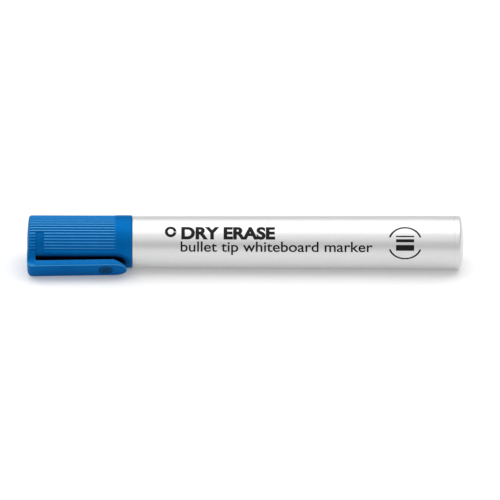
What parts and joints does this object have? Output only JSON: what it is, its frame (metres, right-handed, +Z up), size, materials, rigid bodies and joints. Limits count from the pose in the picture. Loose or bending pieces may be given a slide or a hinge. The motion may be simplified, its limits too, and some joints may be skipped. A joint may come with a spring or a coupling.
{
  "type": "whiteboard marker",
  "caption": "Capped whiteboard marker with a ribbed pull-off cap, a sprung pocket clip, a tapered round barrel and a bullet tip fed by a fibre reservoir.",
  "frame": {"origin": "centre of the bounding box, at the table the marker lies on", "axes": "+X along the marker's axis, from the cap to the tail; +Z up with the marker lying on a table, its clip low on the -Y side"},
  "size_m": [0.14, 0.0198, 0.0171],
  "materials": {
    "barrel_plastic": "satin silver moulded plastic with printed black lettering",
    "cap_plastic": "satin blue moulded polypropylene",
    "holder_plastic": "plain moulded polypropylene",
    "liner_plastic": "soft moulded polyethylene",
    "nib_felt": "pressed polyester fibre, inked",
    "reservoir_fibre": "bonded polyester fibre, inked",
    "wrap_film": "clear film"
  },
  "bodies": {
    "barrel": {"barrel": "barrel_plastic", "tail_plug": "barrel_plastic", "nib_holder": "holder_plastic", "nib": "nib_felt", "ink_reservoir": "reservoir_fibre", "reservoir_wrap": "wrap_film"},
    "cap": {"cap_shell": "cap_plastic", "inner_cap": "liner_plastic"},
    "clip": {"pocket_clip": "cap_plastic"}
  },
  "joints": [
    {"name": "cap_pull", "type": "slide", "parent": "barrel", "child": "cap", "axis": [-1, 0, 0], "range_m": [0, 0.04]},
    {"name": "clip_flex", "type": "hinge", "parent": "cap", "child": "clip", "pos_m": [-0.067, -0.00732, 0.0034], "axis": [0, 0.5122, -0.8588], "range_deg": [0, 7.5], "stiffness_Nm_per_rad": 1.25}
  ]
}
